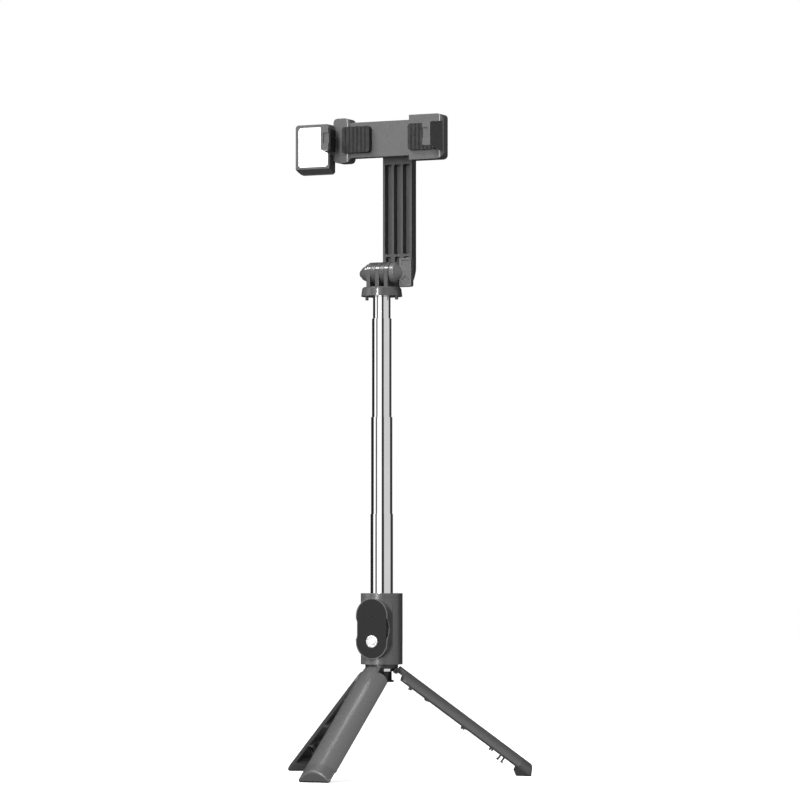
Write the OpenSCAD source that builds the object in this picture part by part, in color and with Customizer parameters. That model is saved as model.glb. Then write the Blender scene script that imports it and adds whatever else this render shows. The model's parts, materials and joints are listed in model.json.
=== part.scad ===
// Telescopic selfie stick that opens into a small tripod.
// Three gutter-shaped legs fold together under a round handle, a chromed four-section rod
// slides out of it, and a tilting bracket carries a phone clamp with a fill light.
// Millimetres, +Z up, ground at z = 0, rod axis on the Z axis, the phone's screen faces -Y.

/* [Handle] */
// Outside diameter of the round handle
handle_d = 28.3; // [27.8:0.1:29]
// Height of the handle's bottom edge above the ground
handle_z = 75.4; // [75:0.1:76]
// Height of the handle
handle_h = 48; // [48:0.1:50]
// Wall of the handle shell
handle_wall = 1.85; // [1.6:0.05:1.9]
// Thickness of the handle's top cap
cap_h = 2.8; // [2.6:0.1:2.8]
// Outside diameter of the hub disc under the handle
hub_d = 22.2; // [22:0.1:22.4]
// Thickness of the hub disc under the handle
hub_h = 2.8; // [2.6:0.1:2.9]

/* [Remote] */
// Width of the raised cradle that holds the remote
cradle_w = 23.8; // [23.4:0.1:24]
// Height of the raised cradle
cradle_h = 41.2; // [40.8:0.1:41.4]
// Distance from the rod axis to the cradle's front rim
cradle_y = 15.4; // [15.2:0.1:15.8]
// Height of the cradle's centre above the ground
cradle_z = 99.5; // [99.4:0.1:99.8]
// Width of the rim around the remote
rim_w = 0.8; // [0.7:0.05:0.9]
// Diameter of the shutter button
shutter_d = 8.4; // [7.5:0.1:9]

/* [Legs] */
// Angle between an open leg and the vertical
leg_open = 53.3; // [50:0.1:54]
// Distance from the rod axis to a leg's hinge pin
leg_pin_r = 9.6; // [9.6:0.05:9.7]
// Height of the leg hinge pins above the ground
leg_pin_z = 70.8; // [70:0.1:71]
// Distance along the leg from the hinge pin to the foot's end
leg_len = 115; // [113:0.1:116]
// Wall of the leg shell
leg_wall = 1.7; // [1.5:0.05:1.9]
// Length of the foot block
foot_len = 10.8; // [10.4:0.1:11.6]

/* [Rod] */
// Outside diameters of the four rod sections, widest first
rod_d = [15.2, 14.4, 13.2, 11.9];
// Lengths of each section that show above the one before it
rod_show = [53.5, 65.6, 66.8, 15.1];
// Wall of a rod section
rod_wall = 0.35; // [0.3:0.01:0.35]
// Radial clearance of a sliding fit
slide_fit = 0.05; // [0.03:0.01:0.08]

/* [Head] */
// Diameter of the collar's lower edge
collar_d1 = 28; // [27:0.1:28.2]
// Diameter of the collar's upper edge
collar_d2 = 26; // [25.6:0.1:26.4]
// Height of the collar
collar_h = 6.2; // [6:0.1:6.4]
// Radius of the hinge prongs
prong_r = 7.5; // [7:0.1:7.6]
// Thickness of one prong
prong_t = 2.8; // [2.6:0.1:3]
// Distance between the centres of two prongs
prong_pitch = 6.6; // [6.4:0.1:6.8]
// Height of the tilt axis above the collar
tilt_rise = 9.6; // [9.4:0.1:10]

/* [Clamp] */
// Height of the clamp's centre above the tilt axis
clamp_rise = 92.7; // [90:0.1:96]
// Width of the phone that the jaws stand open for
phone_w = 78.1; // [70:0.1:84]
// Height of the clamp's end blocks
block_h = 30.6; // [30.4:0.1:32]
// Height of the jaw arms
arm_h = 16; // [15.8:0.1:17]
// Distance behind the rod axis to the clamp's front face
clamp_y = 7.9; // [7.8:0.1:8.2]
// Depth of the clamp's end blocks
block_d = 10.6; // [10.4:0.1:10.8]
// Width of the bracket plate
plate_w = 22; // [21:0.1:23]

/* [Fill light] */
// Width of the light
light_w = 25.9; // [25:0.1:27]
// Height of the light's front face
light_h = 30.5; // [29:0.1:32]
// Depth of the light
light_d = 9.4; // [9:0.1:10]

/* [Hidden] */
$fn = 96;

// Handle and hub
handle_r = handle_d / 2;
handle_top = handle_z + handle_h;
shell_r = handle_r - handle_wall;
hub_z = handle_z - hub_h;
bore_r = rod_d[0] / 2 + slide_fit;
sleeve_r = 9.4;
spigot_h = 3;
cradle_floor = 7.9;
pocket_floor = 8.9;
peg_x = 11.2;
peg_r = 1.1;
peg_len = 2.3;
peg_fit = 0.2;

// Legs: each is drawn folded down at azimuth 0, and at_leg() opens and places it
leg_azimuths = [-90, 30, 150];
pin_r = 0.75;
pin_bore_r = 0.8;
knuckle_r = 1.8;
knuckle_w = 5.8;
ear_w = 1.7;
ear_r = knuckle_r - 0.1;
ear_reach = 1.1;
leg_gap = 0.35;
neck_w = 10;
neck_top = 0.4;
foot_z = leg_pin_z - leg_len;
foot_top = foot_z + foot_len;
sole_x = leg_pin_r + (leg_len * cos(leg_open) - leg_pin_z) / sin(leg_open);
heel_x = 1.5;
end_lean = 16;
rail_drop = 14;
rib_drops = [15.6, 60, 84];
rib_t = 1.2;
rib_r = 9;
tab_drops = [28.6, 59.8];
tab_w = 3.2;
tab_h = 2.4;
web_h = 7;
snap_drops = [91.4, 94.4];
snap_x = 2.6;
snap_w = 3.6;

// Remote
remote_fit = 0.1;
remote_w = cradle_w - 2 * (rim_w + remote_fit);
remote_h = cradle_h - 2 * (rim_w + remote_fit);
remote_face = cradle_y - 0.1;
remote_base = pocket_floor + 0.2;
cover_t = 1.2;
shell_t = 1.1;
shutter_z = 90.9;
lamp_z = 107.9;
shutter_r = shutter_d / 2;
battery_cap_r = 8.4;

// Rod: z of each section's top, and its length
rod_top = [for (i = 0, z = handle_top; i < 4; z = z + rod_show[i], i = i + 1) z + rod_show[i]];
collar_z = rod_top[3];
socket_depth = 4.2;
rod_len = [rod_top[0] - leg_pin_z + 0.1, 97, 96, 100];
rod_z = [
    rod_top[0] - rod_len[0], rod_top[1] - rod_len[1], rod_top[2] - rod_len[2],
    collar_z + socket_depth - rod_len[3]
];
ring_len = 8;
shoe_len = 3;
lip_len = 1.2;
plug_drop = 7.2;

// Head and tilt hinge
tilt_z = collar_z + collar_h + tilt_rise;
bolt_r = 2.5;
bolt_bore_r = 2.55;
finger_t = prong_pitch - prong_t - 0.3;
prong_edge = prong_pitch + prong_t / 2;
boss_step = 10.2;
boss_end = 13.8;
nut_seat = 11.4;
nut_h = 3.4;
nut_r = 3.25;
nut_end = 15.7;
bolt_end = 15;
bolt_seat = 3;
knob_gap = 0.3;
knob_r = 7.3;
knob_x = prong_edge + knob_gap;

// Bracket and clamp
clamp_z = tilt_z + clamp_rise;
plate_y = 24;
plate_t = 7;
plate_bottom = tilt_z - prong_r;
channel_pitch = 6.8;
swivel_r = 13;
swivel_bolt_r = 2;
swivel_bore_r = swivel_bolt_r + slide_fit;
stop_r = 7;
boss_r = 9;
body_x1 = -38;
body_x2 = 18;
body_y1 = clamp_y + 1.3;
body_y2 = clamp_y + block_d - 1.3;
body_y = (body_y1 + body_y2) / 2;
body_h = block_h - 6.4;
cover_depth = 2;
cover_screw_x = [-34.5, -16];
cover_screw_r = 0.9;
arm_in = phone_w / 2 + 0.1;
pad_t = 1;
arm_t = 1.2;
arm_out = arm_in + pad_t + arm_t;
lip_w = 5.8;
lip_t = 3.5;
lip_y = -10.5;
pad_y = 4.9;
rod_off = 8.6;
jaw_rod_r = 1.25;
jaw_rod_bore_r = 1.3;
jaw_rod_x = -9;
spring_r = 1.85;
channel_r = 2.5;
channel_x1 = -32;
channel_x2 = 12;
block_end = arm_out + 0.6;
sleeve_x = 13;
sleeve_wall = 2.6;
travel_close = 21;
slot_end = boss_r + 0.8 + travel_close;
light_gap = 1;

// Fill light
light_x2 = -arm_out - light_gap;
light_x1 = light_x2 - light_w;
light_y1 = 4.6;
light_y2 = light_y1 + light_d;
light_top = clamp_z + 11.6;
light_bottom = light_top - light_h;
light_skirt = light_bottom - 3.6;
light_axis_y = 10.8;
light_axis_z = clamp_z - 2.5;
light_pin_r = 1.5;
light_frame = 2.1;
light_wall = 1.4;
back_t = 1.6;
panel_w = light_w - light_frame - light_wall;
panel_h = light_h - 3.4;
light_mid = (light_x1 + light_x2) / 2;
light_mid_z = (light_top + light_bottom) / 2;
light_port_y = 9.2;
board_y = light_y1 + 3.2;
led_w = 2.8;
light_button_r = 2.5;
light_button_z = clamp_z + 1.5;

charcoal = [0.26, 0.26, 0.27];
graphite = [0.16, 0.16, 0.17];
black = [0.06, 0.06, 0.06];
steel = [0.8, 0.8, 0.82];

// ---- Shapes that repeat ----

// Upright stadium outline: w wide, h high, centred on the origin
module stadium(w, h) {
    union() {
        square([w, h - w], center = true);
        for (s = [-1, 1]) translate([0, s * (h - w) / 2]) circle(d = w);
    }
}

// Rectangle from [0, 0] to [w, h] with corners of radius r
module round_rect(w, h, r) {
    union() {
        translate([r, 0]) square([w - 2 * r, h]);
        translate([0, r]) square([w, h - 2 * r]);
        for (x = [r, w - r]) for (y = [r, h - r]) translate([x, y]) circle(r);
    }
}

// Extrudes an outline drawn in X and Z from y1 to y2
module along_y(y1, y2) {
    translate([0, y2, 0]) rotate([90, 0, 0]) linear_extrude(y2 - y1) children();
}

// Extrudes an outline drawn in Y and Z from x1 to x2
module along_x(x1, x2) {
    translate([x1, 0, 0]) rotate([90, 0, 90]) linear_extrude(x2 - x1) children();
}

// Cylinder along X from x1 to x2, through y, z
module rod_x(x1, x2, y, z, r) {
    translate([x1, y, z]) rotate([0, 90, 0]) cylinder(h = x2 - x1, r = r);
}

// Cylinder along Y from y1 to y2, through x, z
module rod_y(y1, y2, x, z, r) {
    translate([x, y2, z]) rotate([90, 0, 0]) cylinder(h = y2 - y1, r = r);
}

// Pipe along Z
module pipe(z, h, r_out, r_in) {
    translate([0, 0, z]) difference() {
        cylinder(h = h, r = r_out);
        translate([0, 0, -1]) cylinder(h = h + 2, r = r_in);
    }
}

// ---- Handle and hub ----

module handle_shell() {
    color(charcoal) difference() {
        union() {
            translate([0, 0, handle_z]) cylinder(h = handle_h - cap_h, r = handle_r);
            along_y(-cradle_y, -1) translate([0, cradle_z]) stadium(cradle_w, cradle_h);
        }
        // Pocket for the remote
        along_y(-cradle_y - 1, -pocket_floor) translate([0, cradle_z])
            stadium(cradle_w - 2 * rim_w, cradle_h - 2 * rim_w);
        // Finger scoops in both sides of the rim
        rod_x(-handle_r, handle_r, -cradle_y - 6.7, cradle_z, 9.7);
        // Seat of the hub's spigot
        translate([0, 0, handle_z - 1]) cylinder(h = spigot_h + 1.2, r = shell_r);
        // Inside of the handle, flat behind the remote's pocket
        difference() {
            translate([0, 0, handle_z + spigot_h]) cylinder(h = handle_h, r = shell_r);
            translate([-handle_r, -handle_r - cradle_floor, handle_z])
                cube([handle_d, handle_r, handle_h]);
        }
    }
}

module handle_cap() {
    color(charcoal) difference() {
        pipe(handle_top - cap_h, cap_h, handle_r, sleeve_r);
        // Four sockets, so the head docks in any of four directions
        for (a = [0:90:270]) rotate([0, 0, a]) translate([peg_x, 0, handle_top - peg_len - peg_fit])
            cylinder(h = peg_len + 1, r = peg_r + peg_fit);
    }
}

module rod_bush() {
    color(black) pipe(handle_top - cap_h, cap_h, sleeve_r - 0.05, bore_r);
}

module hub() {
    ear_x = leg_pin_r - ear_r;
    color(graphite) difference() {
        union() {
            translate([0, 0, hub_z]) cylinder(h = 0.8, r1 = hub_d / 2 - 0.8, r2 = hub_d / 2);
            translate([0, 0, hub_z + 0.8]) cylinder(h = hub_h - 0.8, r = hub_d / 2);
            translate([0, 0, handle_z]) cylinder(h = spigot_h, r = shell_r - 0.05);
            for (a = leg_azimuths) rotate([0, 0, a]) for (s = [-1, 1])
                translate([0, s * (knuckle_w + ear_w + 0.4) / 2, 0]) {
                    translate([ear_x, -ear_w / 2, leg_pin_z])
                        cube([ear_r + ear_reach, ear_w, hub_z - leg_pin_z + 0.5]);
                    rod_y(-ear_w / 2, ear_w / 2, leg_pin_r, leg_pin_z, ear_r);
                }
        }
        translate([0, 0, hub_z - 5]) cylinder(h = handle_h, r = bore_r);
        for (a = leg_azimuths) rotate([0, 0, a]) rod_y(-8, 8, leg_pin_r, leg_pin_z, pin_r);
    }
}

module leg_pins() {
    half = knuckle_w / 2 + ear_w + 0.2;
    color(steel) for (a = leg_azimuths) rotate([0, 0, a]) rod_y(-half, half, leg_pin_r, leg_pin_z, pin_r);
}

// ---- Legs ----

// Opens a folded leg and turns it to its azimuth
module at_leg(azimuth) {
    rotate([0, 0, azimuth]) translate([leg_pin_r, 0, leg_pin_z]) rotate([0, -leg_open, 0])
        translate([-leg_pin_r, 0, -leg_pin_z]) children();
}

// One third of the folded leg bundle's round, seen from above, less half the gap to its neighbours
module third() {
    reach = 2 * handle_r;
    apex = leg_gap / sin(60);
    polygon([[apex, 0], [apex + reach, reach * tan(60)], [apex + reach, -reach * tan(60)]]);
}

// Height at which the folded foot is cut, so that it lies flat on the ground when open
function sole_z(x) = leg_pin_z - (leg_pin_z + (x - leg_pin_r) * sin(leg_open)) / cos(leg_open);

// Outline of the neck and shoulders, Y against Z
module leg_outline() {
    full = handle_r - 1.9;
    shoulder = 5;
    top = leg_pin_z - neck_top;
    union() {
        translate([-neck_w / 2, top - 12]) square([neck_w, 12]);
        translate([-full, foot_z - 1]) square([2 * full, top - 10.2 - foot_z + 1]);
        translate([-full + shoulder, foot_z]) square([2 * (full - shoulder), top - 5.2 - foot_z]);
        for (s = [-1, 1]) translate([s * (full - shoulder), top - 5.2 - shoulder]) circle(shoulder);
    }
}

module folded_leg() {
    inner_r = handle_r - leg_wall;
    gutter_h = leg_pin_z - foot_top;
    rail_x = 6.6;
    rail_y = 9.9;
    rail_t = 1.4;
    tab_x = 5.7;
    tab_y = 9.6;
    difference() {
        union() {
            intersection() {
                union() {
                    // Gutter
                    pipe(foot_top, gutter_h, handle_r, inner_r);
                    // Rails along both edges
                    for (s = [-1, 1]) translate([rail_x, s * (rail_y + rail_t / 2) - rail_t / 2, foot_top])
                        cube([handle_r - rail_x, rail_t, gutter_h - rail_drop]);
                    // Cross ribs
                    for (v = rib_drops) pipe(leg_pin_z - v, rib_t, inner_r + 0.2, rib_r);
                    // Stiffening tabs at the edges
                    for (v = tab_drops) for (s = [-1, 1])
                        translate([tab_x, s * tab_y - tab_w / 2, leg_pin_z - v - tab_h / 2])
                            cube([handle_r - tab_x, tab_w, tab_h]);
                }
                translate([0, 0, foot_top]) linear_extrude(gutter_h) third();
                translate([0, 0, foot_top]) cylinder(h = gutter_h, r = handle_r);
                along_x(0, handle_r + 1) leg_outline();
            }
            // Knuckle and web
            rod_y(-knuckle_w / 2, knuckle_w / 2, leg_pin_r, leg_pin_z, knuckle_r);
            translate([leg_pin_r, -knuckle_w / 2, leg_pin_z - web_h])
                cube([inner_r - leg_pin_r + 0.3, knuckle_w, web_h - neck_top]);
            // Pair of snap fingers inside the gutter, each with a hooked tip
            for (v = snap_drops) translate([snap_x, -snap_w / 2, leg_pin_z - v]) {
                cube([inner_r - snap_x + 0.1, snap_w, 1]);
                translate([0, 0, v == snap_drops[0] ? 0 : -0.5]) cube([1.2, snap_w, 1.5]);
            }
        }
        rod_y(-8, 8, leg_pin_r, leg_pin_z, pin_bore_r);
    }
}

// Height of the folded foot's end face, which stands steep when the leg is open
function end_z(x) = foot_z + (x - sole_x) * tan(90 - leg_open - end_lean);

// Solid end of a leg: a third of a round plug with a steep end face and a slanting sole
module folded_foot() {
    intersection() {
        translate([0, 0, foot_z - foot_len]) cylinder(h = 2 * foot_len, r = handle_r);
        translate([0, 0, foot_z - foot_len]) linear_extrude(2 * foot_len) third();
        along_y(-handle_r, handle_r) polygon([
            [heel_x + 2.2, foot_top], [handle_r + 1, foot_top], [handle_r + 1, end_z(handle_r + 1)],
            [sole_x, sole_z(sole_x)], [heel_x, sole_z(heel_x)]
        ]);
    }
}

module leg_front() { color(charcoal) at_leg(leg_azimuths[0]) folded_leg(); }
module leg_right() { color(charcoal) at_leg(leg_azimuths[1]) folded_leg(); }
module leg_left() { color(charcoal) at_leg(leg_azimuths[2]) folded_leg(); }
module foot_front() { color(graphite) at_leg(leg_azimuths[0]) folded_foot(); }
module foot_right() { color(graphite) at_leg(leg_azimuths[1]) folded_foot(); }
module foot_left() { color(graphite) at_leg(leg_azimuths[2]) folded_foot(); }

// ---- Remote ----

module remote_back() {
    color(black) difference() {
        along_y(-remote_face + cover_t, -remote_base) translate([0, cradle_z]) stadium(remote_w, remote_h);
        along_y(-remote_face, -remote_base - shell_t) translate([0, cradle_z])
            stadium(remote_w - 2 * shell_t, remote_h - 2 * shell_t);
        rod_y(-remote_base - 2, -remote_base + 1, 0, cradle_z, battery_cap_r + 0.1);
    }
}

module remote_front() {
    color(graphite) difference() {
        along_y(-remote_face, -remote_face + cover_t) translate([0, cradle_z]) stadium(remote_w, remote_h);
        rod_y(-remote_face - 1, -remote_face + 2, 0, shutter_z, shutter_r + 0.15);
        rod_y(-remote_face - 1, -remote_face + 2, 0, lamp_z, 0.5);
    }
}

module remote_lamp() {
    color(black) rod_y(-remote_face + 0.1, -remote_face + cover_t, 0, lamp_z, 0.5);
}

module remote_board() {
    board_face = -13.6;
    board_t = 0.7;
    dome_h = 0.12;
    dome_r = 2.4;
    color("darkgreen") union() {
        along_y(board_face, board_face + board_t) translate([0, cradle_z])
            stadium(remote_w - 3, remote_h - 3);
        rod_y(board_face - dome_h, board_face, 0, shutter_z, dome_r);
    }
}

module remote_cell() {
    color(steel) rod_y(-12.8, -10.7, 0, cradle_z, 8);
}

module remote_cap() {
    color(black) difference() {
        rod_y(-remote_base - shell_t, -remote_base, 0, cradle_z, battery_cap_r);
        translate([-5, -remote_base - 0.6, cradle_z - 0.8]) cube([10, 1, 1.6]);
    }
}

module remote_button() {
    color("white") rod_y(-remote_face - 0.3, -remote_face + 1, 0, shutter_z, shutter_r);
}

// ---- Rod ----

// Section i of the rod, with an inward lip at its top
module rod_section(i) {
    r = rod_d[i] / 2;
    lip_r = i < 3 ? rod_d[i + 1] / 2 + slide_fit : r - rod_wall;
    color(steel) difference() {
        translate([0, 0, rod_z[i]]) cylinder(h = rod_len[i], r = r);
        translate([0, 0, rod_z[i] - 1]) cylinder(h = rod_len[i] + 2, r = min(r - rod_wall, lip_r));
        translate([0, 0, rod_z[i] - 1]) cylinder(h = rod_len[i] + 1 - lip_len, r = r - rod_wall);
    }
}

// Plastic ring around the foot of section i, which runs inside the section before it
module slide_ring(i) {
    color(black) pipe(rod_z[i], ring_len, rod_d[i - 1] / 2 - rod_wall - slide_fit, rod_d[i] / 2);
}

module tube_1() { rod_section(0); }
module tube_2() { rod_section(1); }
module tube_3() { rod_section(2); }
module tube_4() { rod_section(3); }

// The second section fills the first, so its ring is a shoe under its end
module slide_ring_2() {
    color(black) pipe(rod_z[1] - shoe_len, shoe_len, rod_d[1] / 2, rod_d[1] / 2 - rod_wall - 0.15);
}

module slide_ring_3() { slide_ring(2); }
module slide_ring_4() { slide_ring(3); }

module end_plug() {
    color(black) union() {
        translate([0, 0, rod_z[0] - 5.8]) cylinder(h = 5.8, r = 6.8);
        translate([0, 0, rod_z[0]]) cylinder(h = 5, r = rod_d[0] / 2 - rod_wall);
        translate([0, 0, rod_z[0] - plug_drop]) cylinder(h = 1.4, r = 8.2);
    }
}

// ---- Head ----

// Side view of a hinge plate: round at the tilt axis, straight down to z
module prong_outline(z) {
    union() {
        translate([0, tilt_z]) circle(prong_r);
        translate([-prong_r, z]) square([2 * prong_r, tilt_z - z]);
    }
}

module head_collar() {
    color(charcoal) difference() {
        union() {
            translate([0, 0, collar_z])
                cylinder(h = collar_h - 1, r1 = collar_d1 / 2, r2 = collar_d2 / 2 + 0.3);
            translate([0, 0, collar_z + collar_h - 1])
                cylinder(h = 1, r1 = collar_d2 / 2 + 0.3, r2 = collar_d2 / 2 - 0.7);
            for (x = [-prong_pitch, 0, prong_pitch])
                along_x(x - prong_t / 2, x + prong_t / 2) prong_outline(collar_z + collar_h - 1);
            // Stepped boss on the left, which holds the nut
            rod_x(-boss_step, -prong_edge + 0.1, 0, tilt_z, 6.4);
            translate([-boss_step, 0, tilt_z]) rotate([0, -90, 0])
                cylinder(h = boss_end - boss_step, r1 = 6, r2 = 4.1);
            for (s = [-1, 1]) translate([s * peg_x, 0, collar_z - peg_len])
                cylinder(h = peg_len + 1, r = peg_r);
        }
        translate([0, 0, collar_z - 5]) cylinder(h = 5 + socket_depth, r = rod_d[3] / 2 + slide_fit);
        rod_x(-20, 20, 0, tilt_z, bolt_bore_r);
        // Seat of the nut
        translate([-nut_seat, 0, tilt_z]) rotate([0, -90, 0]) cylinder(h = 10, r = nut_r + 0.1, $fn = 6);
    }
}

module hinge_nut() {
    color(steel) difference() {
        union() {
            translate([-nut_seat, 0, tilt_z]) rotate([0, -90, 0]) cylinder(h = nut_h, r = nut_r, $fn = 6);
            translate([-nut_seat - nut_h, 0, tilt_z]) rotate([0, -90, 0])
                cylinder(h = nut_end - nut_seat - nut_h, r1 = 2.8, r2 = 2.2);
        }
        rod_x(-bolt_end - 0.2, 0, 0, tilt_z, bolt_bore_r);
    }
}

module screw_bolt() {
    color(steel) rod_x(-bolt_end, knob_x + bolt_seat, 0, tilt_z, bolt_r);
}

module screw_knob() {
    base_t = 3.4;
    cone_h = 5;
    wing_x = 14;
    wing_w = 9;
    wing_h = 19.4;
    wing_t = 4;
    rim = 1.3;
    depth = 0.7;
    waist = 2.3;
    color(charcoal) difference() {
        union() {
            rod_x(knob_x, knob_x + base_t, 0, tilt_z, knob_r);
            translate([knob_x + base_t, 0, tilt_z]) rotate([0, 90, 0])
                cylinder(h = cone_h, r1 = knob_r, r2 = 2.6);
            along_y(-wing_t / 2, wing_t / 2) translate([wing_x, tilt_z - wing_h / 2]) difference() {
                round_rect(wing_w, wing_h, 1.2);
                translate([-1.2, wing_h / 2]) circle(3.4);
            }
            rod_x(wing_x - 2, wing_x + wing_w - 1.6, 0, tilt_z, 1.9);
        }
        rod_x(knob_x - 1, knob_x + bolt_seat, 0, tilt_z, bolt_r);
        // Sunk panels above and below the screw's axis, on both faces of the wing
        for (s = [-1, 1]) for (side = [-1, 1])
            along_y(side * wing_t / 2 - depth, side * wing_t / 2 + depth) polygon([
                [wing_x + rim, tilt_z + s * (wing_h / 2 - rim)],
                [wing_x + wing_w - rim, tilt_z + s * (wing_h / 2 - rim)],
                [wing_x + wing_w - rim, tilt_z + s * (waist + 3)],
                [wing_x + wing_w / 2, tilt_z + s * waist],
                [wing_x + rim, tilt_z + s * (waist + 3)]
            ]);
    }
}

// ---- Bracket ----

module bracket() {
    channel_w = 5.2;
    channel_depth = 5.4;
    channel_z = tilt_z + 14.6;
    channel_h = clamp_rise - 31;
    recess_w = 3.8;
    recess_z = tilt_z + 8.6;
    recess_h = 4.4;
    end_r = 22;
    end_h = 13.5;
    half = plate_w / 2;
    color(graphite) difference() {
        union() {
            along_y(plate_y, plate_y + plate_t) {
                translate([-half, plate_bottom + end_h]) square([plate_w, clamp_z - plate_bottom - end_h]);
                // Lower end, narrowed on both sides by a wide curve
                intersection() {
                    translate([-half, plate_bottom]) square([plate_w, end_h + 1]);
                    translate([half - end_r, plate_bottom + end_h]) circle(end_r);
                    translate([end_r - half, plate_bottom + end_h]) circle(end_r);
                }
                translate([0, clamp_z]) circle(swivel_r);
            }
            // Two hinge fingers that run back to the plate
            for (s = [-1, 1]) along_x((s * prong_pitch - finger_t) / 2, (s * prong_pitch + finger_t) / 2)
                union() {
                    translate([0, tilt_z]) circle(prong_r);
                    translate([0, tilt_z + 1]) square([plate_y + 1, prong_r - 1]);
                }
            // Gusset between the fingers and the plate
            translate([-half + 2.5, plate_y - 2.5, tilt_z + 1.2]) cube([plate_w - 5, 3, prong_r - 1.6]);
        }
        rod_x(-20, 20, 0, tilt_z, bolt_bore_r);
        // Three channels in the front of the plate, small recesses below the cross rib
        for (x = [-channel_pitch, 0, channel_pitch]) {
            along_y(plate_y - 1, plate_y + channel_depth) translate([x - channel_w / 2, channel_z])
                round_rect(channel_w, channel_h, 1);
            along_y(plate_y - 1, plate_y + 3.6) translate([x - recess_w / 2, recess_z])
                round_rect(recess_w, recess_h, 0.8);
        }
        // Swivel bore, the bolt head's seat and the stop groove
        rod_y(plate_y - 1, plate_y + plate_t + 1, 0, clamp_z, swivel_bore_r);
        rod_y(plate_y + plate_t - 2.4, plate_y + plate_t + 1, 0, clamp_z, 4.6);
        translate([0, plate_y + 2, clamp_z]) rotate([90, 0, 0]) rotate([0, 0, -11])
            rotate_extrude(angle = 202) translate([stop_r - 1.3, 0]) square([2.6, 3]);
    }
}

module swivel_washer() {
    color(steel) difference() {
        rod_y(plate_y - 0.3, plate_y, 0, clamp_z, 5.2);
        rod_y(plate_y - 1, plate_y + 1, 0, clamp_z, swivel_bore_r);
    }
}

// ---- Clamp ----

// Channels of the two springs, and the bores that guide the rods
module spring_channels() {
    for (s = [-1, 1]) {
        rod_x(channel_x1, channel_x2, body_y, clamp_z + s * rod_off, channel_r);
        rod_x(channel_x2 - 1, body_x2 + 1, body_y, clamp_z + s * rod_off, jaw_rod_bore_r);
    }
}

module clamp_body() {
    color(graphite) difference() {
        union() {
            along_y(body_y1 + cover_depth, body_y2) translate([body_x1, clamp_z - body_h / 2])
                round_rect(body_x2 - body_x1, body_h, 2);
            rod_y(body_y2 - 1, plate_y - 0.35, 0, clamp_z, boss_r);
            rod_y(plate_y - 1, plate_y + 1.6, 0, clamp_z + stop_r, 1);
        }
        spring_channels();
        rod_y(body_y1, plate_y + 3, 0, clamp_z, swivel_bolt_r);
        rod_y(body_y1, body_y1 + cover_depth + 2.4, 0, clamp_z, 4);
        for (x = cover_screw_x) rod_y(body_y1, body_y2 - 1, x, clamp_z, cover_screw_r);
    }
}

module clamp_cover() {
    color(charcoal) difference() {
        along_y(body_y1, body_y1 + cover_depth) translate([body_x1, clamp_z - body_h / 2])
            round_rect(body_x2 - body_x1, body_h, 2);
        spring_channels();
        for (x = cover_screw_x) {
            rod_y(body_y1 - 1, body_y2, x, clamp_z, cover_screw_r);
            rod_y(body_y1 - 1, body_y1 + 1, x, clamp_z, 2 * cover_screw_r);
        }
    }
}

module cover_screws() {
    color(steel) for (x = cover_screw_x) difference() {
        union() {
            rod_y(body_y1 + 0.1, body_y1 + 1, x, clamp_z, 2 * cover_screw_r - 0.1);
            rod_y(body_y1 + 0.9, body_y2 - 1.2, x, clamp_z, cover_screw_r);
        }
        for (a = [0, 90]) translate([x, body_y1, clamp_z]) rotate([0, a, 0])
            cube([2, 1, 0.45], center = true);
    }
}

module swivel_bolt() {
    shank_y = body_y1 + cover_depth + 0.1;
    head_y = plate_y + plate_t - 2.3;
    color(steel) difference() {
        union() {
            rod_y(shank_y, head_y + 0.1, 0, clamp_z, swivel_bolt_r);
            rod_y(shank_y, shank_y + 2.2, 0, clamp_z, 3.9);
            rod_y(head_y, head_y + 2, 0, clamp_z, 4.3);
        }
        translate([0, head_y + 2.5, clamp_z]) rotate([90, 0, 0]) cylinder(h = 1.8, r = 1.5, $fn = 6);
    }
}

// End block of the clamp from x1 to x2, rounded all round
module end_block(x1, x2) {
    intersection() {
        along_y(clamp_y, clamp_y + block_d) translate([x1, clamp_z - block_h / 2])
            round_rect(x2 - x1, block_h, 4.6);
        translate([x1, clamp_y, clamp_z - block_h / 2]) linear_extrude(block_h)
            round_rect(x2 - x1, block_d, 3);
    }
}

// Arm and hooked lip of a jaw: side is 1 on the right and -1 on the left
module jaw_arm(side) {
    mirror([side < 0 ? 1 : 0, 0, 0]) difference() {
        union() {
            along_x(arm_in + pad_t, arm_out) translate([0, clamp_z - arm_h / 2]) polygon([
                [lip_y + 1, 0], [clamp_y + 4, -2.5], [clamp_y + 4, arm_h + 2.5], [lip_y + 1, arm_h]
            ]);
            along_y(lip_y, lip_y + lip_t) translate([arm_out - lip_w, clamp_z - arm_h / 2])
                round_rect(lip_w, arm_h, 1);
        }
        // Sunk panel in the face of the lip, open at the lip's edge
        along_y(lip_y - 1, lip_y + 1) translate([arm_out - lip_w - 1, clamp_z - arm_h / 2 + 4.6])
            round_rect(lip_w - 0.8, 7.4, 0.4);
    }
}

// Rubber lining of a jaw: a face against the phone's side and one behind the lip
module jaw_pad(side) {
    pad_h = arm_h - 1.2;
    back_y = lip_y + lip_t;
    mirror([side < 0 ? 1 : 0, 0, 0]) difference() {
        union() {
            translate([arm_in, back_y, clamp_z - pad_h / 2]) cube([pad_t, clamp_y - back_y - 0.3, pad_h]);
            translate([arm_out - lip_w + 0.6, back_y, clamp_z - pad_h / 2])
                cube([lip_w - arm_t - 0.6, 1.2, pad_h]);
        }
        for (z = [-6:2:6]) rod_y(0, clamp_y + 1, arm_in, clamp_z + z, 0.35);
    }
}

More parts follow.
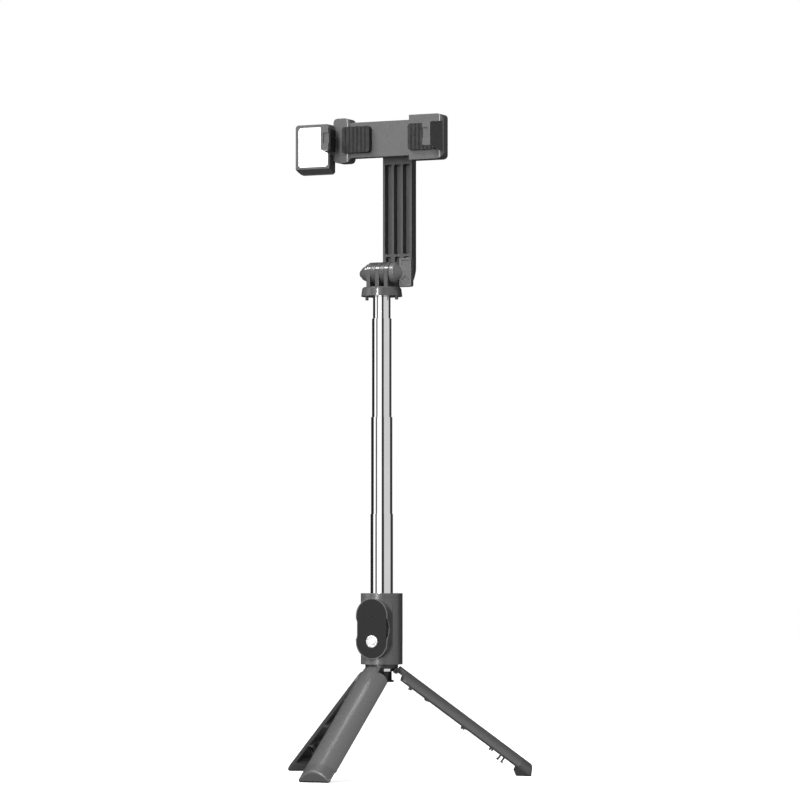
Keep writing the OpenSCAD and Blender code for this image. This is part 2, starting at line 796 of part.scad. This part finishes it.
module jaw_fixed() {
    color(charcoal) difference() {
        union() {
            jaw_arm(-1);
            end_block(-block_end, -block_end + 14);
        }
        // Seat of the clamp body, and the light's pivot bore
        translate([body_x1, body_y1, clamp_z - body_h / 2]) cube([30, body_y2 - body_y1, body_h]);
        rod_x(-block_end - 1, body_x1 - 0.6, light_axis_y, light_axis_z, light_pin_r + slide_fit);
    }
}

module jaw_fixed_pad() { color(black) jaw_pad(-1); }

module jaw_sliding_pad() { color(black) jaw_pad(1); }

// Ribbed rubber rest for the phone's back, from x1 to x2
module rest_pad(x1, x2) {
    difference() {
        along_y(pad_y, clamp_y) translate([x1, clamp_z - 9]) round_rect(x2 - x1, 18, 2);
        for (x = [x1 + 3:3:x2 - 2]) translate([x - 0.5, pad_y - 1, clamp_z - 10]) cube([1, 1.6, 20]);
    }
}

module back_pad() {
    color(black) union() {
        rest_pad(-33, -12);
        along_y(clamp_y, body_y1) translate([-27, clamp_z - 8]) square([14, 16]);
    }
}

module jaw_back_pad() { color(black) rest_pad(17, 38); }

module jaw_sliding() {
    inner_h = body_h + 0.6;
    color(charcoal) difference() {
        union() {
            jaw_arm(1);
            end_block(sleeve_x, block_end);
        }
        // Inside of the sleeve, which runs over the clamp body
        translate([sleeve_x - 1, body_y1 - 0.3, clamp_z - inner_h / 2])
            cube([block_end - sleeve_x + 1 - sleeve_wall, body_y2 - body_y1 + 0.6, inner_h]);
        // Open left end, square all round
        translate([sleeve_x - 1, clamp_y - 1, clamp_z - block_h / 2 - 1])
            cube([4.6, block_d + 2, block_h + 2]);
        // Slot in the back that clears the swivel boss
        along_y(body_y2, clamp_y + block_d + 1) union() {
            translate([sleeve_x, clamp_z - boss_r - 0.6])
                square([slot_end - boss_r - sleeve_x, 2 * boss_r + 1.2]);
            translate([slot_end - boss_r, clamp_z]) circle(boss_r + 0.6);
        }
        for (s = [-1, 1]) rod_x(30, block_end - 1, body_y, clamp_z + s * rod_off, jaw_rod_r);
    }
}

module jaw_rods() {
    color(steel) for (s = [-1, 1]) {
        rod_x(jaw_rod_x, block_end - 1, body_y, clamp_z + s * rod_off, jaw_rod_r);
        rod_x(jaw_rod_x, jaw_rod_x + 1.5, body_y, clamp_z + s * rod_off, 2.3);
    }
}

// Springs that pull the jaw in: turns stand as rings around each rod
module jaw_springs() {
    turns = 9;
    first = jaw_rod_x + 2.2;
    pitch = (channel_x2 - 0.6 - first) / (turns - 1);
    color(steel) for (s = [-1, 1]) for (i = [0:turns - 1])
        translate([first + i * pitch, body_y, clamp_z + s * rod_off]) rotate([0, 90, 0])
            rotate_extrude() translate([spring_r, 0]) circle(0.4, $fn = 24);
}

// ---- Fill light ----

// Side view of the light: upright front, skirt that drops towards the back
module light_profile(inset) {
    polygon([
        [light_y1 + inset, light_bottom + inset], [light_y2, light_skirt + inset],
        [light_y2, light_top - inset], [light_y1 + inset, light_top - inset]
    ]);
}

module light_housing() {
    color(charcoal) difference() {
        intersection() {
            along_x(light_x1, light_x2) light_profile(0);
            along_y(light_y1, light_y2 - back_t) translate([light_x1, light_skirt])
                round_rect(light_w, light_top - light_skirt, 2.2);
        }
        // Hollow inside
        translate([light_x1 + light_wall, light_y1 + 1.6, light_bottom + light_wall])
            cube([light_w - 2 * light_wall, light_d, light_h - 2 * light_wall]);
        // Window of the diffuser
        along_y(light_y1 - 1, light_y1 + 2) translate([light_x1 + light_frame, light_bottom + light_wall])
            round_rect(panel_w, panel_h, 2);
        // Hole of the pivot pin, and the charging socket
        rod_x(light_x2 - 2, light_x2 + 1, light_axis_y, light_axis_z, light_pin_r);
        along_x(light_x1 - 1, light_x1 + 2) translate([light_port_y, light_mid_z]) stadium(3.4, 9.2);
    }
}

module light_back() {
    color(graphite) difference() {
        along_y(light_y2 - back_t, light_y2) translate([light_x1, light_skirt + 0.1])
            round_rect(light_w, light_top - light_skirt - 0.1, 2.2);
        rod_y(light_y2 - 3, light_y2 + 1, light_mid, light_button_z, light_button_r + 0.15);
    }
}

module light_diffuser() {
    color("white") along_y(light_y1 + 0.3, light_y1 + 1.6)
        translate([light_x1 + light_frame + 0.05, light_bottom + light_wall + 0.05])
            round_rect(panel_w - 0.1, panel_h - 0.1, 1.95);
}

module light_board() {
    color("white") union() {
        along_y(board_y, board_y + 0.8) translate([light_x1 + 5.4, light_bottom + 2])
            round_rect(light_w - 8.2, light_h - 4, 0.5);
        for (x = [-5.5, 0.5, 6.5]) for (z = [-8, 0, 8])
            translate([light_mid + x - led_w / 2, board_y - 0.7, light_mid_z + z - led_w / 2])
                cube([led_w, 0.7, led_w]);
    }
}

module light_battery() {
    color("silver") along_y(board_y + 1, board_y + 3.4) translate([light_mid - 8, light_bottom + 2.2])
        round_rect(16, 8, 1);
}

module light_pivot() {
    color(steel) rod_x(light_x2 - 2, body_x1 - 0.8, light_axis_y, light_axis_z, light_pin_r);
}

module light_port() {
    color(steel) along_x(light_x1 + 0.1, light_x1 + 5) translate([light_port_y, light_mid_z]) difference() {
        stadium(3.3, 9.1);
        stadium(2.5, 8.3);
    }
}

module light_button() {
    color(black) rod_y(light_y2 - 1, light_y2 + 0.6, light_mid, light_button_z, light_button_r);
}

handle_shell();
handle_cap();
rod_bush();
hub();
leg_pins();
leg_front();
leg_right();
leg_left();
foot_front();
foot_right();
foot_left();
remote_back();
remote_front();
remote_lamp();
remote_board();
remote_cell();
remote_cap();
remote_button();
tube_1();
end_plug();
tube_2();
slide_ring_2();
tube_3();
slide_ring_3();
tube_4();
slide_ring_4();
head_collar();
hinge_nut();
screw_bolt();
screw_knob();
bracket();
swivel_washer();
clamp_body();
clamp_cover();
cover_screws();
swivel_bolt();
jaw_fixed();
jaw_fixed_pad();
back_pad();
jaw_sliding();
jaw_sliding_pad();
jaw_back_pad();
jaw_rods();
jaw_springs();
light_housing();
light_back();
light_diffuser();
light_board();
light_battery();
light_pivot();
light_port();
light_button();
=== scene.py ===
"""Selfie stick that opens into a tripod: its looks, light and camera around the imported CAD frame."""
import json
import math

import bmesh
import bpy
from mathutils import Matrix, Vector


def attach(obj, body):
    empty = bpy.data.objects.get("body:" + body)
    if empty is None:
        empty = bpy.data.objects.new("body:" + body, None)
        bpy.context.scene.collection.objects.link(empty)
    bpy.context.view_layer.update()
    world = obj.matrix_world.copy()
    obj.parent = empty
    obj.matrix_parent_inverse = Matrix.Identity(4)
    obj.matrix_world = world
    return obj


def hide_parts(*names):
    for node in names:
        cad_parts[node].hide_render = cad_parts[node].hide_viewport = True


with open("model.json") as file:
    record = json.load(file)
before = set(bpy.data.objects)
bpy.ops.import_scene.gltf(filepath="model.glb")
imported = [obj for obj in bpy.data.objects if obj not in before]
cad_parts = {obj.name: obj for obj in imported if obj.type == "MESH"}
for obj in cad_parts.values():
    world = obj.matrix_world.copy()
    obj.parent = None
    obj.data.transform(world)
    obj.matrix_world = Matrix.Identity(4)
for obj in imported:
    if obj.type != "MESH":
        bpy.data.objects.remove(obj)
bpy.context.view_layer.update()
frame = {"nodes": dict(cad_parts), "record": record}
nodes = frame["nodes"]
body_of_node = {n: body for body, members in frame["record"]["behaviour"]["bodies"].items() for n in members}
slot_of_node = {s["node"]: s["material_slot"] for s in frame["record"]["subparts"]}

MM = 0.001


# ---- Materials ----

class Shader:
    """A Principled material with helpers that add nodes to it."""

    def __init__(self, name, colour, roughness, metallic=0.0):
        self.material = bpy.data.materials.new(name)
        self.material.use_nodes = True
        self.tree = self.material.node_tree
        self.bsdf = self.tree.nodes["Principled BSDF"]
        self.bsdf.inputs["Base Color"].default_value = (*colour, 1)
        self.bsdf.inputs["Roughness"].default_value = roughness
        self.bsdf.inputs["Metallic"].default_value = metallic
        self.colour = colour
        self.place = self.tree.nodes.new("ShaderNodeTexCoord").outputs["Object"]

    def set(self, **values):
        """Sets inputs of the Principled node, with underscores for the spaces in their names."""
        for key, value in values.items():
            self.bsdf.inputs[key.replace("_", " ")].default_value = value
        return self

    def link(self, output, target):
        self.tree.links.new(output, target)

    def noise(self, scale, detail=4.0, stretch=(1, 1, 1)):
        """Noise in object space, scale in cells per metre."""
        mapping = self.tree.nodes.new("ShaderNodeMapping")
        mapping.inputs["Scale"].default_value = stretch
        self.link(self.place, mapping.inputs["Vector"])
        texture = self.tree.nodes.new("ShaderNodeTexNoise")
        texture.inputs["Scale"].default_value = scale
        texture.inputs["Detail"].default_value = detail
        self.link(mapping.outputs["Vector"], texture.inputs["Vector"])
        return texture.outputs["Fac"]

    def cells(self, scale):
        """Distance to the nearest of many scattered points, scale in points per metre."""
        texture = self.tree.nodes.new("ShaderNodeTexVoronoi")
        texture.inputs["Scale"].default_value = scale
        self.link(self.place, texture.inputs["Vector"])
        return texture.outputs["Distance"]

    def remap(self, value, low, high, start=0.3, end=0.7):
        """Maps start..end of a value to low..high."""
        node = self.tree.nodes.new("ShaderNodeMapRange")
        node.inputs["From Min"].default_value = start
        node.inputs["From Max"].default_value = end
        node.inputs["To Min"].default_value = low
        node.inputs["To Max"].default_value = high
        self.link(value, node.inputs["Value"])
        return node.outputs["Result"]

    def vary_colour(self, value, dark, light, start=0.3, end=0.7):
        """Varies the base colour between dark and light times itself."""
        ramp = self.tree.nodes.new("ShaderNodeValToRGB")
        first, last = ramp.color_ramp.elements
        first.position, last.position = start, end
        first.color = (*[min(1, c * dark) for c in self.colour], 1)
        last.color = (*[min(1, c * light) for c in self.colour], 1)
        self.link(value, ramp.inputs["Fac"])
        self.link(ramp.outputs["Color"], self.bsdf.inputs["Base Color"])
        return self

    def vary_roughness(self, value, low, high):
        self.link(self.remap(value, low, high), self.bsdf.inputs["Roughness"])
        return self

    def bump(self, value, distance, strength=0.5):
        """Adds relief of a given height in metres on top of any earlier one."""
        node = self.tree.nodes.new("ShaderNodeBump")
        node.inputs["Distance"].default_value = distance
        node.inputs["Strength"].default_value = strength
        self.link(value, node.inputs["Height"])
        last = self.bsdf.inputs["Normal"].links
        if last:
            self.link(last[0].from_socket, node.inputs["Normal"])
        self.link(node.outputs["Normal"], self.bsdf.inputs["Normal"])
        return self


def moulded(name, colour, roughness, grain=0.00003, specular=0.5):
    """Moulded plastic: faint mottling, a spark-eroded grain and slow swells in the gloss."""
    shader = Shader(name, colour, roughness).set(Specular_IOR_Level=specular)
    shader.vary_colour(shader.noise(900, 5), 0.95, 1.06)
    shader.vary_roughness(shader.noise(120, 3), roughness - 0.03, roughness + 0.04)
    return shader.bump(shader.noise(4200, 2), grain, 0.35).material


def chrome(name):
    """Bright plated tube: hairline drawing marks along the rod and a trace of haze."""
    shader = Shader(name, (0.9, 0.9, 0.91), 0.05, 1.0)
    shader.vary_colour(shader.noise(60, 3), 0.96, 1.0)
    shader.vary_roughness(shader.noise(120, 5), 0.03, 0.08)
    return shader.bump(shader.noise(2500, 3, (1, 1, 0.01)), 0.0000005, 0.1).material


def machined(name, colour, roughness):
    """Plain steel with fine turning marks."""
    shader = Shader(name, colour, roughness, 1.0)
    shader.vary_colour(shader.noise(700, 4), 0.8, 1.05)
    shader.vary_roughness(shader.noise(400, 4), roughness - 0.08, roughness + 0.1)
    return shader.bump(shader.noise(3000, 3, (1, 1, 0.1)), 0.00001, 0.3).material


def rubber(name, colour):
    """Matte rubber with a dusty bloom and a coarse grain."""
    shader = Shader(name, colour, 0.75).set(Specular_IOR_Level=0.35)
    shader.vary_colour(shader.noise(500, 6), 0.75, 1.35)
    shader.vary_roughness(shader.noise(200, 3), 0.68, 0.86)
    return shader.bump(shader.cells(2600), 0.00006, 0.4).material


def pearl(name):
    """Silver-white button cap with an embossed sparkle."""
    shader = Shader(name, (0.95, 0.95, 0.95), 0.22).set(Coat_Weight=0.5)
    shader.vary_colour(shader.cells(900), 1.05, 0.45)
    return shader.bump(shader.cells(900), 0.0002, 0.6).material


def diffuser(name):
    """Lit opal window: soft bright spots over the lamps behind it and a fine prismatic grain."""
    shader = Shader(name, (0.95, 0.95, 0.95), 0.35)
    shader.vary_colour(shader.noise(300, 2), 0.97, 1.03)
    shader.bump(shader.cells(1800), 0.00005, 0.3)
    shader.set(Emission_Color=(1, 1, 0.985, 1))
    shader.link(shader.remap(shader.noise(110, 1), 1.1, 1.5), shader.bsdf.inputs["Emission Strength"])
    return shader.material


def board(name, colour):
    """Circuit board: solder resist over faint tracks."""
    shader = Shader(name, colour, 0.35)
    shader.vary_colour(shader.cells(1200), 0.7, 1.3)
    return shader.bump(shader.noise(1500, 2), 0.00003, 0.4).material


MATERIALS = {
    "charcoal": moulded("charcoal_plastic", (0.095, 0.095, 0.097), 0.28),
    "satin": moulded("satin_charcoal_plastic", (0.095, 0.095, 0.097), 0.25, 0.000003),
    "gloss": moulded("gloss_charcoal_plastic", (0.078, 0.078, 0.08), 0.16, 0.0000015),
    "graphite": moulded("graphite_plastic", (0.05, 0.05, 0.052), 0.34),
    "face": moulded("remote_face_plastic", (0.012, 0.012, 0.013), 0.55, 0.00002, 0.2),
    "black": moulded("black_plastic", (0.01, 0.01, 0.011), 0.38),
    "lens": moulded("lamp_lens", (0.004, 0.004, 0.005), 0.12, 0.000005),
    "chrome": chrome("chrome_plate"),
    "steel": machined("turned_steel", (0.62, 0.62, 0.64), 0.25),
    "dark_steel": machined("blacked_steel", (0.05, 0.05, 0.052), 0.35),
    "rubber": rubber("soft_rubber", (0.02, 0.02, 0.021)),
    "foot": moulded("foot_plastic", (0.075, 0.075, 0.077), 0.32),
    "pearl": pearl("pearl_button"),
    "diffuser": diffuser("opal_window"),
    "board": board("solder_resist", (0.02, 0.14, 0.06)),
    "white_board": board("white_resist", (0.75, 0.75, 0.72)),
    "foil": machined("cell_foil", (0.5, 0.5, 0.53), 0.4),
}

BY_SLOT = {
    "charcoal_plastic": "charcoal", "graphite_plastic": "graphite", "black_plastic": "black",
    "black_gloss": "lens", "rubber": "rubber", "chrome": "chrome", "steel": "steel",
    "white_plastic": "pearl", "diffuser": "diffuser", "board": "board", "cell": "foil",
}
BY_NODE = {
    "remote_front": "face", "light_board": "white_board",
    "foot_front": "foot", "foot_right": "foot", "foot_left": "foot",
    "handle_shell": "satin", "handle_cap": "satin",
    "leg_front": "satin", "leg_right": "satin", "leg_left": "satin",
    "head_collar": "gloss", "bracket": "graphite", "hinge_nut": "chrome",
    "leg_pins": "dark_steel",
}


def material_of(node):
    return MATERIALS[BY_NODE.get(node, BY_SLOT[slot_of_node[node]])]


def paint(piece, material):
    piece.data.materials.clear()
    piece.data.materials.append(material)


# ---- Pieces ----

# Edge radius of each moulded or turned piece, in millimetres
EDGES = {
    "handle_shell": 0.4, "handle_cap": 0.35, "rod_bush": 0.2, "hub": 0.25, "leg_pins": 0.15,
    "leg_front": 0.45, "leg_right": 0.45, "leg_left": 0.45,
    "foot_front": 1.6, "foot_right": 1.6, "foot_left": 1.6,
    "remote_back": 0.25, "remote_front": 0.3, "remote_cap": 0.2, "remote_button": 0.45,
    "end_plug": 0.3, "head_collar": 0.45, "hinge_nut": 0.25, "screw_bolt": 0.3, "screw_knob": 0.3,
    "bracket": 0.4, "clamp_body": 0.4, "clamp_cover": 0.3, "cover_screws": 0.1, "swivel_bolt": 0.3,
    "swivel_washer": 0.05, "jaw_fixed": 0.5, "jaw_fixed_pad": 0.2, "back_pad": 0.2,
    "jaw_sliding": 0.5, "jaw_sliding_pad": 0.2, "jaw_back_pad": 0.2, "jaw_rods": 0.2,
    "light_housing": 0.4, "light_back": 0.4, "light_diffuser": 0.15, "light_pivot": 0.2,
    "light_port": 0.1, "light_button": 0.3,
}

# Pieces whose edges keep their full radius where two roundings meet
FREE_WIDTH = ("foot_front", "foot_right", "foot_left", "screw_knob")

# Edges with a sharper turn than this are rounded
SHARP = math.radians(34)
# Share of the radius that an edge gets where a leg meets its foot, and round a sole
SEAM_SHARE = 0.06
SOLE_SHARE = 0.3
# How far from the seam or the ground an edge may lie and still count as part of it
SEAM_BAND = 0.3 * MM
SOLE_BAND = 0.2 * MM
# Angle between an open leg and the upright
LEG_SPREAD = math.radians(53.3)
# Points nearer than this are joined, and so are faces that meet at less than this angle
WELD = 0.001 * MM
FLAT = math.radians(0.5)


def copy_of(node, suffix):
    """A new object with a copy of a CAD node's mesh."""
    piece = bpy.data.objects.new(node + suffix, nodes[node].data.copy())
    bpy.context.scene.collection.objects.link(piece)
    return piece


def seam_edges(node, form):
    """Edges of a leg or foot where the two meet; none on any other piece."""
    kind = node.split("_")[0]
    if kind not in ("leg", "foot") or node == "leg_pins":
        return set()
    middle = sum((v.co for v in form.verts), Vector()) / len(form.verts)
    outward = Vector((middle.x, middle.y, 0)).normalized()
    along = outward * math.sin(LEG_SPREAD) - Vector((0, 0, math.cos(LEG_SPREAD)))
    pick = max if kind == "leg" else min
    meeting = pick(v.co.dot(along) for v in form.verts)
    return {e for e in form.edges if all(abs(v.co.dot(along) - meeting) < SEAM_BAND for v in e.verts)}


def weigh_edges(node, form):
    """Gives each sharp edge its share of the piece's edge radius."""
    share = form.edges.layers.float.new("bevel_weight_edge")
    seam = seam_edges(node, form)
    for edge in form.edges:
        if edge.calc_face_angle(0) > SHARP:
            on_ground = all(v.co.z < SOLE_BAND for v in edge.verts)
            edge[share] = SEAM_SHARE if edge in seam else SOLE_SHARE if on_ground else 1


def rounded(node, radius):
    """A copy of a CAD node with its edges rounded, which stands for it."""
    piece = copy_of(node, "_finished")
    form = bmesh.new()
    form.from_mesh(piece.data)
    bmesh.ops.remove_doubles(form, verts=form.verts, dist=WELD)
    bmesh.ops.dissolve_limit(form, angle_limit=FLAT, verts=form.verts, edges=form.edges)
    weigh_edges(node, form)
    form.to_mesh(piece.data)
    form.free()
    piece.data.shade_smooth()
    bevel = piece.modifiers.new("edge", "BEVEL")
    bevel.width = radius * MM
    bevel.segments = 3
    bevel.limit_method = "WEIGHT"
    bevel.use_clamp_overlap = node not in FREE_WIDTH
    piece.modifiers.new("shading", "WEIGHTED_NORMAL").keep_sharp = False
    paint(piece, material_of(node))
    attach(piece, body_of_node[node])
    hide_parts(node)


def held_springs():
    """The jaw's springs at their rest length, which stay in the clamp's channels as the jaw slides."""
    piece = copy_of("jaw_springs", "_held")
    piece.data.shade_smooth()
    paint(piece, material_of("jaw_springs"))
    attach(piece, "clamp")
    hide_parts("jaw_springs")


for node, cad_piece in nodes.items():
    paint(cad_piece, material_of(node))
    if node in EDGES:
        rounded(node, EDGES[node])
held_springs()


# ---- Floor, light and camera ----

FLOOR_RADIUS = 6
# Glow that brings the floor up to the backdrop's white, and how much light it throws back
FLOOR_LIFT = 0.62
FLOOR_BOUNCE = 0.2
# Mirrors show the floor up to the first radius and none of it past the second
FLOOR_MIRRORED = (0.3, 0.4)

# White and dark walls round the object: the azimuth in degrees where each starts, and its brightness
WALLS = [
    (-180, 0.04), (-154, 0.02), (-70, 1.2), (-43, 0.1),
    (-25, 1.2), (25, 0.04), (50, 0.68), (128, 0.04),
]
# Half of the blend between two walls, as a share of the full turn
WALL_BLEND = 0.004
# The ceiling's brightness, and the sines of the heights where it starts and where it is full
CEILING = 0.5
CEILING_RISE = (0.8, 0.92)
# Light from behind that falls only on matt surfaces
BACK_FILL = 1.1
BACK_AZIMUTH = math.radians(206)

def make_floor():
    """Pale floor, lifted to the backdrop's white where the camera sees it."""
    bpy.ops.mesh.primitive_circle_add(vertices=96, radius=FLOOR_RADIUS, fill_type="NGON", location=(0, 0, 0))
    floor = bpy.context.object
    floor.name = "floor"
    shader = Shader("pale_floor", (0.9, 0.9, 0.9), 0.7).set(Specular_IOR_Level=0.1)
    shader.set(Emission_Color=(1, 1, 1, 1))
    seen = shader.tree.nodes.new("ShaderNodeLightPath").outputs["Is Camera Ray"]
    shader.vary_colour(shader.remap(seen, 0, 1, 0, 1), FLOOR_BOUNCE, 1, 0, 1)
    shader.link(shader.remap(seen, 0, FLOOR_LIFT, 0, 1), shader.bsdf.inputs["Emission Strength"])
    # Reflections look through the far floor at the walls, which run on below it
    radius = shader.tree.nodes.new("ShaderNodeVectorMath")
    radius.operation = "LENGTH"
    shader.link(shader.place, radius.inputs[0])
    both = shader.tree.nodes.new("ShaderNodeMath")
    both.operation = "MULTIPLY"
    shader.link(shader.remap(radius.outputs["Value"], 0, 1, *FLOOR_MIRRORED), both.inputs[0])
    shader.link(shader.tree.nodes.new("ShaderNodeLightPath").outputs["Is Glossy Ray"], both.inputs[1])
    shader.link(shader.remap(both.outputs[0], 1, 0, 0, 1), shader.bsdf.inputs["Alpha"])
    paint(floor, shader.material)


def softbox(name, azimuth, elevation, distance, size, power, target=(0, 0, 0.25)):
    """Area light that looks at the target; azimuth 0 is in front of the object, 90 to its right."""
    light = bpy.data.lights.new(name, "AREA")
    light.shape = "RECTANGLE"
    light.size, light.size_y = size
    light.energy = power
    lamp = bpy.data.objects.new(name, light)
    bpy.context.scene.collection.objects.link(lamp)
    turn, rise = math.radians(azimuth), math.radians(elevation)
    away = Vector((math.sin(turn) * math.cos(rise), -math.cos(turn) * math.cos(rise), math.sin(rise)))
    lamp.location = Vector(target) + away * distance
    lamp.rotation_euler = (-away).to_track_quat("-Z", "Y").to_euler()


def lay_walls(stops):
    """Sets the walls' brightness along a colour ramp that spans the full turn."""
    stops.remove(stops[1])
    stops[0].position = 0
    level = WALLS[0][1]
    stops[0].color = (level, level, level, 1)
    for start, value in WALLS[1:]:
        place = (start + 180) / 360
        for position, colour in ((place - WALL_BLEND, level), (place + WALL_BLEND, value)):
            stop = stops.new(position)
            stop.color = (colour, colour, colour, 1)
        level = value


def make_world():
    """White studio: the camera sees plain white, the object sees walls of different brightness."""
    world = bpy.data.worlds.new("studio")
    bpy.context.scene.world = world
    world.use_nodes = True
    tree = world.node_tree
    tree.nodes.clear()

    def node(kind, **values):
        new = tree.nodes.new("ShaderNode" + kind)
        for key, value in values.items():
            setattr(new, key, value)
        return new

    def maths(operation, first, second=None):
        new = node("Math", operation=operation)
        for socket, value in zip(new.inputs, (first, second)):
            if isinstance(value, (int, float)):
                socket.default_value = value
            elif value is not None:
                tree.links.new(value, socket)
        return new.outputs[0]

    split = node("SeparateXYZ")
    tree.links.new(node("TexCoord").outputs["Generated"], split.inputs[0])
    x, y, z = split.outputs
    turn = maths("ARCTAN2", x, maths("MULTIPLY", y, -1))
    ramp = node("ValToRGB")
    ramp.color_ramp.interpolation = "LINEAR"
    tree.links.new(maths("ADD", maths("MULTIPLY", turn, 0.5 / math.pi), 0.5), ramp.inputs["Fac"])
    lay_walls(ramp.color_ramp.elements)
    height = node("MapRange")
    height.inputs["From Min"].default_value, height.inputs["From Max"].default_value = CEILING_RISE
    tree.links.new(z, height.inputs["Value"])
    room = node("MixRGB")
    tree.links.new(height.outputs["Result"], room.inputs["Fac"])
    tree.links.new(ramp.outputs["Color"], room.inputs["Color1"])
    room.inputs["Color2"].default_value = (CEILING, CEILING, CEILING, 1)
    walls = node("Background")
    tree.links.new(room.outputs["Color"], walls.inputs["Color"])
    # Matt surfaces also get a soft light from behind, which mirrors don't see
    behind = maths("ADD", maths("MULTIPLY", x, math.sin(BACK_AZIMUTH)),
                   maths("MULTIPLY", y, -math.cos(BACK_AZIMUTH)))
    fill = node("Background")
    matt = node("LightPath").outputs["Is Diffuse Ray"]
    strength = maths("MULTIPLY", maths("MULTIPLY", maths("MAXIMUM", behind, 0), BACK_FILL), matt)
    tree.links.new(strength, fill.inputs["Strength"])
    lit = node("AddShader")
    tree.links.new(walls.outputs[0], lit.inputs[0])
    tree.links.new(fill.outputs[0], lit.inputs[1])
    white = node("Background")
    white.inputs["Color"].default_value = (1, 1, 1, 1)
    mix = node("MixShader")
    tree.links.new(node("LightPath").outputs["Is Camera Ray"], mix.inputs[0])
    tree.links.new(lit.outputs[0], mix.inputs[1])
    tree.links.new(white.outputs[0], mix.inputs[2])
    tree.links.new(mix.outputs[0], node("OutputWorld").inputs["Surface"])


make_floor()
make_world()
softbox("front_strip", 1, 14, 1.5, (0.14, 1.1), 20)
softbox("left_box", -43, 50, 1.6, (0.6, 0.26), 15)
softbox("leg_box", -140, 73, 1.5, (0.3, 0.3), 2.2)
bpy.context.scene.view_settings.view_transform = "Standard"

# Camera to the object's right of its front: angles in degrees, distance and height in metres
CAMERA_AZIMUTH = 26.17
CAMERA_PITCH = 2.476
CAMERA_PAN = -0.253
CAMERA_DISTANCE = 2.8
CAMERA_HEIGHT = 0.1331
# Width of the sensor in millimetres, and the focal length in sensor widths
SENSOR_WIDTH = 36
FOCAL_WIDTHS = 5.16975

camera = bpy.data.objects.new("camera", bpy.data.cameras.new("camera"))
bpy.context.scene.collection.objects.link(camera)
azimuth = math.radians(CAMERA_AZIMUTH)
camera.location = (math.sin(azimuth) * CAMERA_DISTANCE, -math.cos(azimuth) * CAMERA_DISTANCE, CAMERA_HEIGHT)
camera.rotation_euler = (math.radians(90 + CAMERA_PITCH), 0, azimuth + math.radians(CAMERA_PAN))
camera.data.sensor_width = SENSOR_WIDTH
camera.data.lens = SENSOR_WIDTH * FOCAL_WIDTHS
camera.data.clip_end = 50
bpy.context.scene.camera = camera
